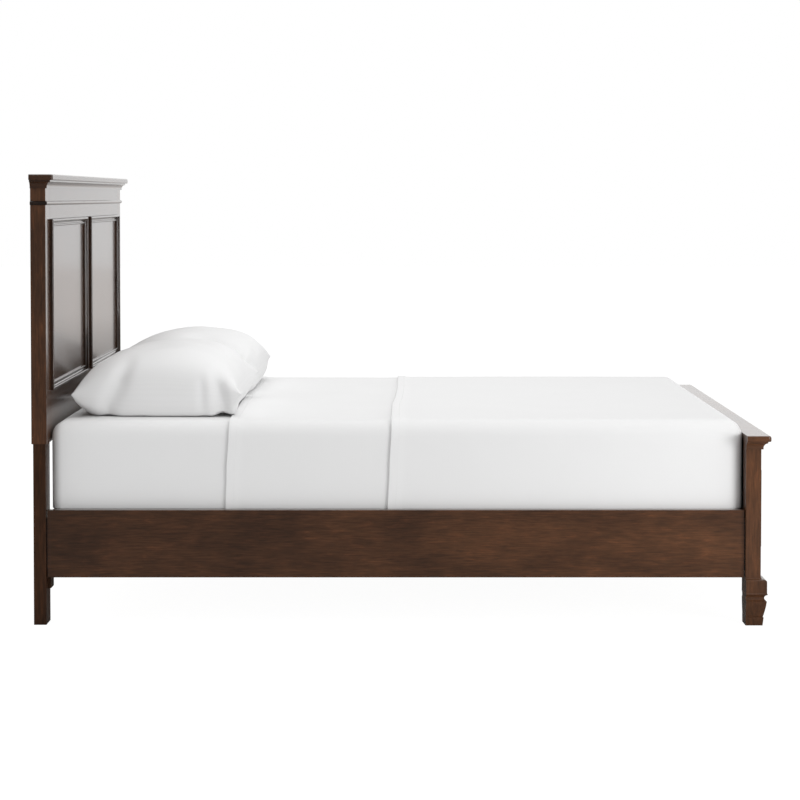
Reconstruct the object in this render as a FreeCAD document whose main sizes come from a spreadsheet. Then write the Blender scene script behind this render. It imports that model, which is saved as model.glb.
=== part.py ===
import FreeCAD, Part
import Sketcher
import os

# A panelled wooden bed with slats, foundation, mattress, bedding and two pillows.
# Millimetres. +X runs from the headboard to the footboard, +Y is the sleeper's left, +Z is up.
# The origin lies on the floor under the middle of the bed.

sizes = {
    # whole frame
    "postSpan": 1620,          # across the outer faces of the posts
    "clearLength": 2055,       # headboard face to footboard face
    "headHigh": 1327,
    "footboardHigh": 561,
    # headboard and footboard frames
    "headThick": 45,
    "footThick": 45,
    "headPostWide": 78,
    "footPostWide": 50,
    "mullionWide": 78,
    "frameThick": 32,          # rails and mullions, flush with the posts in front
    "headTopRail": 115,
    "headBottomRail": 152,
    "footTopRail": 91,
    "footBottomRail": 80,
    "boardEase": 1.2,          # rounded arrises of the boards
    # joints in the frames
    "tenonThick": 12,
    "tenonLong": 24,
    "tenonShoulder": 20,
    "panelThick": 12,
    "panelSetback": 3,
    "grooveDeep": 8,
    "panelSlack": 1,
    "fitGap": 0.2,
    # caps and mouldings
    "capThick": 17,
    "capOver": 26,
    "capCorner": 9,
    "capNose": 6,
    "capUnderNose": 3,
    "crownHigh": 24,
    "crownProud": 17,
    "beadHigh": 12.5,
    "beadProud": 6,
    "beadDrop": 73.5,          # from the cap's underside to the bead's lower edge
    "mouldWide": 22,
    "mouldProud": 10,
    # headboard legs and the blocks on them
    "legShow": 534.5,
    "legThick": 37,
    "legWide": 74,
    "legEase": 2,
    "legTenonLong": 92,
    "legTenonWide": 36,        # stops short of the bottom rail's tenon
    "legShoulder": 8,
    "blockThick": 9,
    "blockWide": 48,
    "blockHigh": 200,
    "blockLow": 102,
    "blockGap": 1,             # from the side rail's inner face
    # footboard feet
    "footBlockHigh": 142.5,
    "footProud": 16,
    "footTenonLong": 40,
    "footTenonThick": 24,
    # side rails
    "railHigh": 200,
    "railThick": 25,
    "railSetback": 12.5,
    "railLow": 138.5,
    "railEase": 2.5,
    # hook plates on the rail ends and slotted plates in the posts
    "plateThick": 2.5,
    "plateWide": 19,
    "plateHigh": 150,
    "hookLong": 9,
    "hookThick": 3,
    "hookHigh": 14,
    "hookLip": 8,
    "hookPlay": 0.5,
    # slats and cleats
    "cleatThick": 25,
    "cleatHigh": 25,
    "cleatUp": 3.5,
    "cleatShort": 45,          # each end stops short of the rail's end
    "slatWide": 89,
    "slatThick": 19,
    "slatEndGap": 2,
    "slatInset": 150,          # first and last slat centres from the board faces
    "screwHeadRadius": 4.5,
    "screwHeadHigh": 3,
    "screwRadius": 2,
    "screwLong": 36,
    "screwIn": 12,             # from the slat's end
    # centre supports
    "supportWide": 44,
    "levelShow": 18,
    "levelRadius": 19,
    "levelHigh": 9,
    "collarRadius": 8,
    "stemRadius": 4,
    "stemLong": 46,
    "stemGap": 0.4,
    "boreSpare": 14,           # room above the stem for screwing it in
    # foundation, mattress and bedding
    "liftGap": 0.3,
    "foundationEndGap": 11.5,  # from the headboard and the footboard
    "foundationHigh": 127,
    "foundationRound": 14,
    "mattressSideGap": 10.5,   # from each side rail, for the foundation too
    "mattressHeadGap": 6.5,
    "mattressFootGap": 8.5,
    "mattressHigh": 279.4,
    "mattressRound": 55,
    "mattressUnderRound": 20,
    "sheetThick": 2,
    "coverThick": 2.5,
    "skirtUp": 24,             # lower edge of the bedding above the mattress's underside
    "sheetFold": 514,          # flat sheet's edge from the mattress's head end
    "coverFold": 1004,         # coverlet's edge from the mattress's head end
    # pillows
    "pillowLong": 655,
    "pillowWide": 518,
    "pillowSeam": 67,
    "pillowCrown": 132,
    "pillowHeadGap": 44.5,
    "pillowApart": 10,
    # how far cutting shapes run past what they cut
    "overrun": 5,
}

slatCount = 5
supportedSlats = (2, 3, 4)

doc = FreeCAD.newDocument("Bed")
sheet = doc.addObject("Spreadsheet::Sheet", "Sheet")


class Length:
    """A length with its value and the expression that gives it from the sheet."""

    def __init__(self, value, text):
        self.value = value
        self.text = text

    def __add__(self, other):
        return Length(self.value + other.value, f"({self.text} + {other.text})")

    def __sub__(self, other):
        return Length(self.value - other.value, f"({self.text} - {other.text})")

    def __neg__(self):
        return Length(-self.value, f"(0 - {self.text})")

    def __mul__(self, times):
        return Length(self.value * times, f"({self.text} * {times})")

    def __truediv__(self, parts):
        return Length(self.value / parts, f"({self.text} / {parts})")


class Values:
    """The sheet's lengths by name."""


def fillSheet():
    values = Values()
    for row, (name, number) in enumerate(sizes.items(), start=1):
        cell = f"A{row}"
        sheet.set(cell, str(number))
        sheet.setAlias(cell, name)
        setattr(values, name, Length(number, f"Sheet.{name}"))
    doc.recompute()
    return values


v = fillSheet()
zero = Length(0, "0")

# main places, all worked out from the sheet
backX = -(v.headThick + v.clearLength + v.footThick + v.capOver) / 2
headX = backX + v.headThick
footX = headX + v.clearLength
postY = v.postSpan / 2
headCapZ = v.headHigh - v.capThick
footCapZ = v.footboardHigh - v.capThick
railY = postY - v.railSetback - v.railThick
legInset = (v.headThick - v.legThick) / 2
legFrontX = headX - legInset
railStartX = legFrontX + v.plateThick
railEndX = footX - v.plateThick
cleatZ = v.railLow + v.cleatUp
slatZ = cleatZ + v.cleatHigh
foundationZ = slatZ + v.slatThick + v.liftGap
mattressZ = foundationZ + v.foundationHigh + v.liftGap
mattressX = headX + v.mattressHeadGap
mattressLong = v.clearLength - v.mattressHeadGap - v.mattressFootGap
mattressHalf = railY - v.mattressSideGap
mattressWide = mattressHalf * 2
mattressTopZ = mattressZ + v.mattressHigh
pillowZ = mattressTopZ + v.liftGap + v.sheetThick + v.liftGap

subParts = []


def keep(thing, label):
    thing.Label = label
    subParts.append(thing)
    return thing


def bindPlace(thing, at):
    for axis, length in zip("xyz", at):
        thing.setExpression(f"Placement.Base.{axis}", length.text)


def turned(thing, rotation):
    thing.Placement = FreeCAD.Placement(FreeCAD.Vector(), rotation)


# turns about the upright axis, and the turn that takes x to y, y to z and z to x
def aboutZ(degrees):
    return FreeCAD.Rotation(FreeCAD.Vector(0, 0, 1), degrees)


def aboutX(degrees):
    return FreeCAD.Rotation(FreeCAD.Vector(1, 0, 0), degrees)


cyclic = FreeCAD.Rotation(FreeCAD.Vector(1, 1, 1), 120)


def pinned(edge, spot, point):
    """Constraints that hold one point of an edge, each with the expression it is bound to."""
    held = []
    for kind, axis, length in (("DistanceX", -2, point[0]), ("DistanceY", -1, point[1])):
        if length is zero:
            held.append((Sketcher.Constraint("PointOnObject", edge, spot, axis), None))
        else:
            held.append((Sketcher.Constraint(kind, -1, 1, edge, spot, length.value), length.text))
    return held


def draw(sketch, outline):
    """Closes an outline of (x, y) corners, where (x, y, viaX, viaY) is reached by an arc."""
    spots = [FreeCAD.Vector(point[0].value, point[1].value, 0) for point in outline]
    ends = []
    held = []
    for index, start in enumerate(spots):
        after = (index + 1) % len(spots)
        target = outline[after]
        end = spots[after]
        forward = True
        if len(target) == 4:
            # a sketch's arcs run counter-clockwise, so one that turns the other way is reversed
            via = FreeCAD.Vector(target[2].value, target[3].value, 0)
            forward = (via - start).cross(end - via).z > 0
            arc = Part.Arc(start, via, end) if forward else Part.Arc(end, via, start)
            edge = sketch.addGeometry(arc)
            mark = sketch.addGeometry(Part.Point(via), True)
            held += pinned(mark, 1, target[2:])
            held.append((Sketcher.Constraint("PointOnObject", mark, 1, edge), None))
        else:
            edge = sketch.addGeometry(Part.LineSegment(start, end))
        ends.append((edge, 1 if forward else 2, 2 if forward else 1))
    for index, (edge, first, last) in enumerate(ends):
        following = ends[(index + 1) % len(ends)]
        joint = Sketcher.Constraint("Coincident", edge, last, following[0], following[1])
        held.append((joint, None))
        held += pinned(edge, first, outline[index])
    sketch.addConstraint([constraint for constraint, text in held])
    for index, (constraint, text) in enumerate(held):
        if text:
            sketch.setExpression(f"Constraints[{index}]", text)


def rectangle(wide, deep):
    return [(zero, zero), (wide, zero), (wide, deep), (zero, deep)]


def originPlane(body, role):
    return next(item for item in body.Origin.OriginFeatures if item.Role == role)


def bodySketch(body, name, role, outline):
    sketch = body.newObject("Sketcher::SketchObject", name)
    sketch.AttachmentSupport = (originPlane(body, role), [""])
    sketch.MapMode = "FlatFace"
    draw(sketch, outline)
    return sketch


def edgesAt(shape, codes):
    """Names of the edges that lie on the box sides that each code gives, such as Xy for +X -Y."""
    points = [vertex.Point for vertex in shape.Vertexes]
    sides = {}
    for axis, letter in enumerate("xyz"):
        sides[letter] = (axis, min(point[axis] for point in points))
        sides[letter.upper()] = (axis, max(point[axis] for point in points))
    slack = shape.BoundBox.DiagonalLength / 1e6
    names = []
    for number, edge in enumerate(shape.Edges, start=1):
        corners = [vertex.Point for vertex in edge.Vertexes]
        for code in codes:
            wanted = [sides[letter] for letter in code]
            if all(abs(p[axis] - level) < slack for p in corners for axis, level in wanted):
                names.append(f"Edge{number}")
    return names


upright = ("xy", "xY", "Xy", "XY")
allAlongX = ("yz", "yZ", "Yz", "YZ")
allAlongY = ("xz", "xZ", "Xz", "XZ")


def rounded(body, name, base, codes, radius):
    """Rounds the base feature's edges that the codes name."""
    doc.recompute()
    fillet = body.newObject("PartDesign::Fillet", name)
    fillet.Base = (base, edgesAt(base.Shape, codes))
    fillet.setExpression("Radius", radius.text)
    doc.recompute()
    return fillet


def board(name, size, at, *roundings):
    """A block of the given size, with pairs of edge codes and radius for its rounded edges."""
    body = doc.addObject("PartDesign::Body", name)
    sketch = bodySketch(body, name + "Plan", "XY_Plane", rectangle(size[0], size[1]))
    pad = body.newObject("PartDesign::Pad", name + "Pad")
    pad.Profile = sketch
    pad.setExpression("Length", size[2].text)
    feature = pad
    for number, (codes, radius) in enumerate(roundings, start=1):
        feature = rounded(body, f"{name}Round{number}", feature, codes, radius)
    bindPlace(body, at)
    return body


def cutter(name, size, at):
    """A plain box that is added to or cut from a board."""
    thing = doc.addObject("Part::Box", name)
    for key, length in zip(("Length", "Width", "Height"), size):
        thing.setExpression(key, length.text)
    bindPlace(thing, at)
    return thing


def united(name, pieces):
    if len(pieces) == 1:
        return pieces[0]
    thing = doc.addObject("Part::MultiFuse", name)
    thing.Shapes = pieces
    return thing


def shaped(name, blank, added=(), removed=()):
    """The blank with boxes added, such as tenons, and others removed, such as grooves."""
    thing = blank
    if added:
        plus = [cutter(f"{name}Add{i}", *box) for i, box in enumerate(added)]
        thing = united(name + "Joined", [thing] + plus)
    if removed:
        minus = []
        for index, item in enumerate(removed):
            minus.append(cutter(f"{name}Cut{index}", *item) if isinstance(item, tuple) else item)
        cut = doc.addObject("Part::Cut", name + "Worked")
        cut.Base = thing
        cut.Tool = united(name + "Tools", minus)
        thing = cut
    return keep(thing, name)


def prism(name, plane, outline, length, start):
    """An outline on a main plane, extruded along the third axis from start."""
    turns = {
        "XY": FreeCAD.Rotation(),
        "YZ": cyclic,
        "XZ": aboutX(90),
    }
    sketch = doc.addObject("Sketcher::SketchObject", name + "Outline")
    turned(sketch, turns[plane])
    draw(sketch, outline)
    key = {"XY": "z", "YZ": "x", "XZ": "y"}[plane]
    sketch.setExpression(f"Placement.Base.{key}", start.text)
    solid = doc.addObject("Part::Extrusion", name)
    solid.Base = sketch
    solid.DirMode = "Normal"
    solid.Solid = True
    solid.Reversed = plane == "XZ"
    solid.setExpression("LengthFwd", length.text)
    return solid


def common(name, first, second):
    thing = doc.addObject("Part::MultiCommon", name)
    thing.Shapes = [first, second]
    return thing


def scaled(shares, wide, high):
    """An outline of shares, turned into lengths of a width and a height."""
    return [tuple(
        zero if share == 0 else (wide if place % 2 == 0 else high) * share
        for place, share in enumerate(point)
    ) for point in shares]


def stick(name, shares, deep, high, long, mitres):
    """A moulding along x: its section stands on y and z, and its plan cuts the ends.

    Each mitre is 1 where the end runs out with y, -1 where it runs in, and 0 where it is square.
    """
    past = v.overrun
    outer = deep + past
    first, last = mitres
    plan = [
        (past * first, -past), (long - past * last, -past),
        (long + outer * last, outer), (-(outer * first), outer),
    ]
    bar = prism(name + "Bar", "YZ", scaled(shares, deep, high), long + outer * 2, -outer)
    ends = prism(name + "Plan", "XY", plan, high + past * 2, -past)
    return common(name, bar, ends)


# Sections of the mouldings, as shares of how far they stand out and how high they are.
crownShares = [
    (0, 0),
    (0.32, 0),
    (0.32, 0.05),
    (1.0, 0.79, 0.50, 0.57),
    (1.0, 1.0),
    (0, 1.0),
]
beadShares = [
    (0, 0),
    (0, 1.0, 1.0, 0.5),
]
# Section of a panel moulding: first share across it, from its outer edge, second share up it.
mouldShares = [
    (0, 0),
    (1.0, 0),
    (1.0, 0.34),
    (0.72, 0.34, 0.86, 0.50),
    (0.70, 0.26),
    (0.38, 0.56, 0.48, 0.33),
    (0.38, 0.74),
    (0, 0.72, 0.19, 1.0),
]
# Side of a foot block: first share of how far it stands out, second share of its height.
footSideShares = [
    (0.31, 0),
    (0.46, 0.150),
    (0.46, 0.172),
    (0.34, 0.180),
    (0.96, 0.500, 0.72, 0.345),
    (0.96, 0.512),
    (0.96, 0.640, 0.54, 0.572),
    (1.09, 0.650),
    (1.09, 0.668),
    (1.00, 0.678),
    (1.00, 0.900),
    (0.56, 0.957, 0.87, 0.942),
    (0.47, 0.962),
    (0.06, 1.0, 0.14, 0.972),
]


def wrappedMoulding(name, shares, proud, high, back, front, z):
    """A moulding on the front and both sides of a board, mitred at its front corners."""
    depth = front - back
    span = v.postSpan
    runs = (
        ("front", span, (1, 1), aboutZ(-90), (front, postY, z)),
        ("right", depth, (1, 0), aboutZ(180), (front, -postY, z)),
        ("left", depth, (0, 1), aboutZ(0), (back, postY, z)),
    )
    for side, long, mitres, turn, at in runs:
        label = f"{name}_{side}"
        piece = stick(label + "Stick", shares, proud, high, long, mitres)
        turned(piece, turn)
        bindPlace(piece, at)
        keep(piece, label)


def panelMoulding(label, wide, high, front, left, low):
    """Four mitred sticks round a panel: wide by high, from its low corner at y = left."""
    face = front - v.panelSetback
    deep = v.panelSetback + v.mouldProud
    right = left + wide
    top = low + high
    runs = (
        (wide, 0, (face, left, low)),
        (high, 90, (face, right, low)),
        (wide, 180, (face, right, top)),
        (high, 270, (face, left, top)),
    )
    sticks = []
    for number, (long, turn, at) in enumerate(runs, start=1):
        piece = stick(f"{label}Stick{number}", mouldShares, v.mouldWide, deep, long, (-1, -1))
        turned(piece, aboutX(turn).multiply(cyclic))
        bindPlace(piece, at)
        sticks.append(piece)
    frame = doc.addObject("Part::Compound", label + "Frame")
    frame.Links = sticks
    keep(frame, label)


def cap(label, back, front, z):
    """The cap board, flush at the back, with a bull nose in front and at its ends."""
    size = (front + v.capOver - back, v.postSpan + v.capOver * 2, v.capThick)
    at = (back, -(postY + v.capOver), z)
    corners = (("Xy", "XY"), v.capCorner)
    under = (("Xz",), v.capUnderNose)
    nose = (("XZ",), v.capNose)
    keep(board(label + "Board", size, at, corners, under, nose), label)


def panelledBoard(name, back, thick, postWide, low, railLow, capZ, bottomWide, topWide, postExtras):
    """Posts, rails, mullion, two panels and their mouldings, between low and the cap."""
    front = back + thick
    frameBack = front - v.frameThick
    inner = postY - postWide
    openLow = railLow + bottomWide
    openTop = capZ - topWide
    openHigh = openTop - openLow
    openWide = (inner * 2 - v.mullionWide) / 2
    panelX = front - v.panelSetback - v.panelThick
    grooveX = panelX - v.fitGap
    grooveThick = v.panelThick + v.fitGap * 2
    tenonX = frameBack + (v.frameThick - v.tenonThick) / 2
    ease = v.boardEase
    fit = v.fitGap

    # posts, with a groove for the panel and a mortise for each rail
    for side, sign in (("right", -1), ("left", 1)):
        label = f"{name}_post_{side}"
        y = -postY if sign < 0 else inner
        blank = board(
            label + "Blank", (thick, postWide, capZ - low), (back, y, low), (upright, ease))
        grooveY = -inner - v.grooveDeep if sign < 0 else inner - v.overrun
        grooveWide = v.grooveDeep + v.overrun
        removed = [(
            (grooveThick, grooveWide, openHigh + v.grooveDeep * 2),
            (grooveX, grooveY, openLow - v.grooveDeep),
        )]
        mortiseLong = v.tenonLong + fit
        mortiseY = -inner - mortiseLong if sign < 0 else inner - v.overrun
        for z, wide in ((railLow, bottomWide), (openTop, topWide)):
            removed.append((
                (v.tenonThick + fit * 2, mortiseLong + v.overrun,
                 wide - v.tenonShoulder * 2 + fit * 2),
                (tenonX - fit, mortiseY, z + v.tenonShoulder - fit),
            ))
        added, extra = postExtras(side, y)
        shaped(label, blank, added, removed + extra)

    # rails, with a tenon at each end and a groove towards the panels
    for part, z, wide, grooveZ in (
        ("bottom", railLow, bottomWide, openLow - v.grooveDeep),
        ("top", openTop, topWide, openTop - v.overrun),
    ):
        label = f"{name}_{part}_rail"
        size = (v.frameThick, inner * 2, wide)
        blank = board(label + "Blank", size, (frameBack, -inner, z), (allAlongY, ease))
        tenonHigh = wide - v.tenonShoulder * 2
        tenonLong = v.tenonLong + v.overrun
        added = [
            ((v.tenonThick, tenonLong, tenonHigh), (tenonX, -inner - v.tenonLong, z + v.tenonShoulder)),
            ((v.tenonThick, tenonLong, tenonHigh), (tenonX, inner - v.overrun, z + v.tenonShoulder)),
        ]
        groove = (
            (grooveThick, inner * 2, v.grooveDeep + v.overrun),
            (grooveX, -inner, grooveZ),
        )
        shaped(label, blank, added, [groove])

    # mullion, with stub tenons in the rails' grooves and a groove at each side
    label = f"{name}_mullion"
    half = v.mullionWide / 2
    blank = board(
        label + "Blank", (v.frameThick, v.mullionWide, openHigh), (frameBack, -half, openLow),
        (upright, ease))
    stub = v.grooveDeep - fit
    added = [
        ((v.panelThick, v.mullionWide, stub + v.overrun), (panelX, -half, openLow - stub)),
        ((v.panelThick, v.mullionWide, stub + v.overrun), (panelX, -half, openTop - v.overrun)),
    ]
    tall = openHigh + v.grooveDeep * 2
    reach = v.grooveDeep + v.overrun
    removed = [
        ((grooveThick, reach, tall), (grooveX, half - v.grooveDeep, openLow - v.grooveDeep)),
        ((grooveThick, reach, tall), (grooveX, -half - v.overrun, openLow - v.grooveDeep)),
    ]
    shaped(label, blank, added, removed)

    # panels in the grooves, and the mouldings that frame them
    tongue = v.grooveDeep - v.panelSlack
    for side, left in (("right", -inner), ("left", half)):
        size = (v.panelThick, openWide + tongue * 2, openHigh + tongue * 2)
        at = (panelX, left - tongue, openLow - tongue)
        keep(board(f"{name}_panel_{side}Sheet", size, at), f"{name}_panel_{side}")
        panelMoulding(f"{name}_moulding_{side}", openWide, openHigh, front, left, openLow)

    wrappedMoulding(f"{name}_crown", crownShares, v.crownProud, v.crownHigh, back, front,
                    capZ - v.crownHigh)
    cap(f"{name}_cap", back, front, capZ)


def legTenon(y, gap):
    """Size and place of a headboard leg's tenon, or of its mortise when a gap is given."""
    size = (
        v.legThick - v.legShoulder * 2 + gap * 2,
        v.legTenonWide + gap * 2,
        v.legTenonLong + gap + v.overrun,
    )
    inward = v.legWide - v.legShoulder - v.legTenonWide
    tenonY = legOuterY(y) + (v.legShoulder if y.value < 0 else inward)
    at = (
        backX + legInset + v.legShoulder - gap,
        tenonY - gap,
        v.legShow - v.overrun,
    )
    return size, at


def legOuterY(y):
    """The leg stands in by the inset from the post's outer face, flush with its inner face."""
    return y + legInset if y.value < 0 else y


def footTenon(y, gap):
    """Size and place of the stub tenon under a footboard post, or of its mortise."""
    size = (
        v.footTenonThick + gap * 2,
        v.footTenonThick + gap * 2,
        v.footTenonLong + gap + v.overrun,
    )
    at = (
        footX + (v.footThick - v.footTenonThick) / 2 - gap,
        y + (v.footPostWide - v.footTenonThick) / 2 - gap,
        v.footBlockHigh - v.footTenonLong - gap,
    )
    return size, at


# Where a plate's two hooks stand, as shares of its height.
hookShares = (("Low", 0.25), ("High", 0.75))


def plateGroups():
    """Hook plates on the four rail ends, slotted plates in the posts, and the post recesses."""
    half = v.plateWide / 2
    plateLow = v.railLow + (v.railHigh - v.plateHigh) / 2
    midY = postY - v.railSetback - v.railThick / 2
    hooks = []
    slots = []
    recesses = []
    thin = v.hookThick / 2
    play = v.hookPlay
    for number, (x, y, turn) in enumerate((
        (legFrontX, -midY, 180), (legFrontX, midY, 180), (footX, -midY, 0), (footX, midY, 0),
    ), start=1):
        # local x points into the post, and its zero is the post's face
        spot = (x, y, plateLow)
        name = f"plate{number}"
        plate = cutter(name + "Hooked", (v.plateThick, v.plateWide, v.plateHigh),
                       (-v.plateThick, -half, zero))
        slotted = cutter(name + "Slotted", (v.plateThick, v.plateWide, v.plateHigh),
                         (zero, -half, zero))
        holes = []
        hookPieces = [plate]
        pockets = [cutter(name + "Let", (v.plateThick + v.overrun, v.plateWide, v.plateHigh),
                          (-v.overrun, -half, zero))]
        for level, share in hookShares:
            z = v.plateHigh * share
            hookPieces.append(cutter(
                name + level + "Arm", (v.hookLong + v.plateThick, v.hookThick, v.hookHigh),
                (-v.plateThick, -thin, z)))
            hookPieces.append(cutter(
                name + level + "Lip", (v.hookThick, v.hookThick, v.hookHigh + v.hookLip),
                (v.hookLong - v.hookThick, -thin, z - v.hookLip)))
            slotHigh = v.hookHigh + v.hookLip + play * 2
            holes.append(cutter(
                name + level + "Slot",
                (v.plateThick + v.overrun * 2, v.hookThick + play * 2, slotHigh),
                (-v.overrun, -thin - play, z - play)))
            pockets.append(cutter(
                name + level + "Pocket",
                (v.hookLong + play, v.hookThick + play * 2, slotHigh + v.hookLip),
                (zero, -thin - play, z - v.hookLip - play)))
        hooked = united(name + "Hooks", hookPieces)
        cut = doc.addObject("Part::Cut", name + "SlotPlate")
        cut.Base = slotted
        cut.Tool = united(name + "Holes", holes)
        recess = united(name + "Recess", pockets)
        for thing in (hooked, cut, recess):
            turned(thing, aboutZ(turn))
            bindPlace(thing, spot)
        hooks.append(hooked)
        slots.append(cut)
        recesses.append(recess)
    for label, links in (("rail_hook_plates", hooks), ("post_slot_plates", slots)):
        group = doc.addObject("Part::Compound", label + "Group")
        group.Links = links
        keep(group, label)
    return recesses


def makeHeadboard(recesses):
    def postExtras(side, y):
        return [], [legTenon(y, v.fitGap)]

    panelledBoard("headboard", backX, v.headThick, v.headPostWide, v.legShow, v.legShow,
                  headCapZ, v.headBottomRail, v.headTopRail, postExtras)
    wrappedMoulding("headboard_bead", beadShares, v.beadProud, v.beadHigh, backX, headX,
                    headCapZ - v.beadDrop)
    for side, y, recess in (("right", -postY, recesses[0]),
                            ("left", postY - v.headPostWide, recesses[1])):
        label = f"headboard_leg_{side}"
        blank = board(
            label + "Blank", (v.legThick, v.legWide, v.legShow),
            (backX + legInset, legOuterY(y), zero), (upright, v.legEase))
        shaped(label, blank, [legTenon(y, zero)], [recess])
        inner = railY - v.blockGap
        blockY = -inner if side == "right" else inner - v.blockWide
        size = (v.blockThick, v.blockWide, v.blockHigh)
        keep(board(f"rail_block_{side}Board", size, (legFrontX, blockY, v.blockLow),
                   (("Xy", "XY", "Xz", "XZ"), v.boardEase)), f"rail_block_{side}")


def footOutline(base, bothSides):
    """The foot's outline over its height, standing out on both sides or on the far side only."""
    side = scaled(footSideShares, v.footProud, v.footBlockHigh)
    outline = []
    for point in side:
        via = (base + point[2], point[3]) if len(point) == 4 else ()
        outline.append((base + point[0], point[1]) + via)
    if not bothSides:
        return outline + [(zero, v.footBlockHigh), (zero, zero)]
    # the mirrored side runs down, so each arc's middle goes with the point below it
    for point, above in reversed(list(zip(side, side[1:] + [()]))):
        via = (-above[2], above[3]) if len(above) == 4 else ()
        outline.append((-point[0], point[1]) + via)
    return outline


def makeFootboard(recesses):
    def postExtras(side, y):
        recess = recesses[2] if side == "right" else recesses[3]
        return [footTenon(y, zero)], [recess]

    panelledBoard("footboard", footX, v.footThick, v.footPostWide, v.footBlockHigh,
                  v.footBlockHigh, footCapZ, v.footBottomRail, v.footTopRail, postExtras)
    wide = v.footPostWide + v.footProud * 4
    for side, y in (("right", -postY), ("left", postY - v.footPostWide)):
        label = f"footboard_foot_{side}"
        across = prism(label + "Across", "YZ", footOutline(v.footPostWide, True),
                       v.footThick + v.footProud * 2, zero)
        along = prism(label + "Along", "XZ", footOutline(v.footThick, False), wide,
                      -(v.footProud * 2))
        block = common(label + "Block", across, along)
        bindPlace(block, (footX, y, zero))
        shaped(label, block, (), [footTenon(y, v.fitGap)])


def makeRails():
    length = railEndX - railStartX
    for side, sign in (("right", -1), ("left", 1)):
        y = -(postY - v.railSetback) if sign < 0 else railY
        keep(board(f"side_rail_{side}Board", (length, v.railThick, v.railHigh),
                   (railStartX, y, v.railLow), (allAlongX, v.railEase)), f"side_rail_{side}")


def slatCentre(number):
    run = v.clearLength - v.slatInset * 2
    return headX + v.slatInset + run * ((number - 1) / (slatCount - 1))


def makeSlats():
    """Cleats on the rails, slats across them, and a countersunk screw at each slat's end."""
    slatHalf = railY - v.slatEndGap
    slatTop = slatZ + v.slatThick
    screws = []
    profile = [
        (zero, slatTop), (zero, slatTop - v.screwLong),
        (v.screwRadius, slatTop - v.screwLong), (v.screwRadius, slatTop - v.screwHeadHigh),
        (v.screwHeadRadius, slatTop),
    ]
    for number in range(1, slatCount + 1):
        x = slatCentre(number)
        for side, sign in (("Right", -1), ("Left", 1)):
            body = doc.addObject("PartDesign::Body", f"screw{number}{side}")
            sketch = bodySketch(body, f"screw{number}{side}Side", "XZ_Plane", profile)
            turn = body.newObject("PartDesign::Revolution", f"screw{number}{side}Turn")
            turn.Profile = sketch
            turn.ReferenceAxis = (sketch, ["V_Axis"])
            y = slatHalf - v.screwIn
            bindPlace(body, (x, -y if sign < 0 else y, zero))
            screws.append(body)
    group = doc.addObject("Part::Compound", "slat_screwsGroup")
    group.Links = screws
    keep(group, "slat_screws")

    for side, sign in (("right", -1), ("left", 1)):
        label = f"slat_cleat_{side}"
        start = railStartX + v.cleatShort
        size = (railEndX - v.cleatShort - start, v.cleatThick, v.cleatHigh)
        y = -railY if sign < 0 else railY - v.cleatThick
        blank = board(label + "Blank", size, (start, y, cleatZ), (allAlongX, v.boardEase))
        shaped(label, blank, (), [group])
    for number in range(1, slatCount + 1):
        label = f"slat_{number}"
        at = (slatCentre(number) - v.slatWide / 2, -slatHalf, slatZ)
        blank = board(label + "Blank", (v.slatWide, slatHalf * 2, v.slatThick), at,
                      (allAlongY, v.boardEase))
        shaped(label, blank, (), [group])


# A levelling foot's dome: where it starts, then the middle of its arc, as shares of the foot.
levelShoulderShare = 0.45
levelDomeShares = (0.78, 0.86)


def makeSupports():
    """Square legs under the middle slats, each on a foot that screws up into it."""
    half = v.supportWide / 2
    boreRadius = v.stemRadius + v.stemGap
    boreHigh = v.levelHigh + v.stemLong + v.boreSpare - v.levelShow
    for order, number in enumerate(supportedSlats, start=1):
        x = slatCentre(number)
        label = f"support_leg_{order}"
        blank = board(label + "Blank", (v.supportWide, v.supportWide, slatZ - v.levelShow),
                      (x - half, -half, v.levelShow), (upright, v.legEase))
        bore = doc.addObject("Part::Cylinder", label + "Bore")
        bore.setExpression("Radius", boreRadius.text)
        bore.setExpression("Height", (boreHigh + v.overrun).text)
        bindPlace(bore, (x, zero, v.levelShow - v.overrun))
        shaped(label, blank, (), [bore])

        label = f"level_foot_{order}"
        body = doc.addObject("PartDesign::Body", label + "Turned")
        domeX, domeZ = levelDomeShares
        profile = [
            (zero, zero), (v.levelRadius, zero), (v.levelRadius, v.levelHigh * levelShoulderShare),
            (v.collarRadius, v.levelHigh, v.levelRadius * domeX, v.levelHigh * domeZ),
            (v.stemRadius, v.levelHigh), (v.stemRadius, v.levelHigh + v.stemLong),
            (zero, v.levelHigh + v.stemLong),
        ]
        sketch = bodySketch(body, label + "Side", "XZ_Plane", profile)
        turn = body.newObject("PartDesign::Revolution", label + "Turn")
        turn.Profile = sketch
        turn.ReferenceAxis = (sketch, ["V_Axis"])
        bindPlace(body, (x, zero, zero))
        keep(body, label)


def softBlock(name, grow, start, low, openStart):
    """The mattress's form grown by a distance, from start to its foot end and up from low."""
    end = mattressX + mattressLong + grow
    size = (end - start, mattressWide + grow * 2, mattressTopZ + grow - low)
    at = (start, -mattressHalf - grow, low)
    codes = ["Xy", "XY", "XZ", "yZ", "YZ"]
    if not openStart:
        codes += ["xy", "xY", "xZ"]
    return board(name, size, at, (codes, v.mattressRound + grow))


def cover(label, inside, thick, start, openStart):
    """A layer of bedding over the mattress: the grown form less the form that it lies on."""
    low = mattressZ + v.skirtUp
    outer = softBlock(label + "Outer", inside + thick, start, low, openStart)
    innerStart = start - v.overrun if openStart else start + thick
    inner = softBlock(label + "Inner", inside, innerStart, low - v.overrun, openStart)
    shaped(label, outer, (), [inner])


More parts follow.
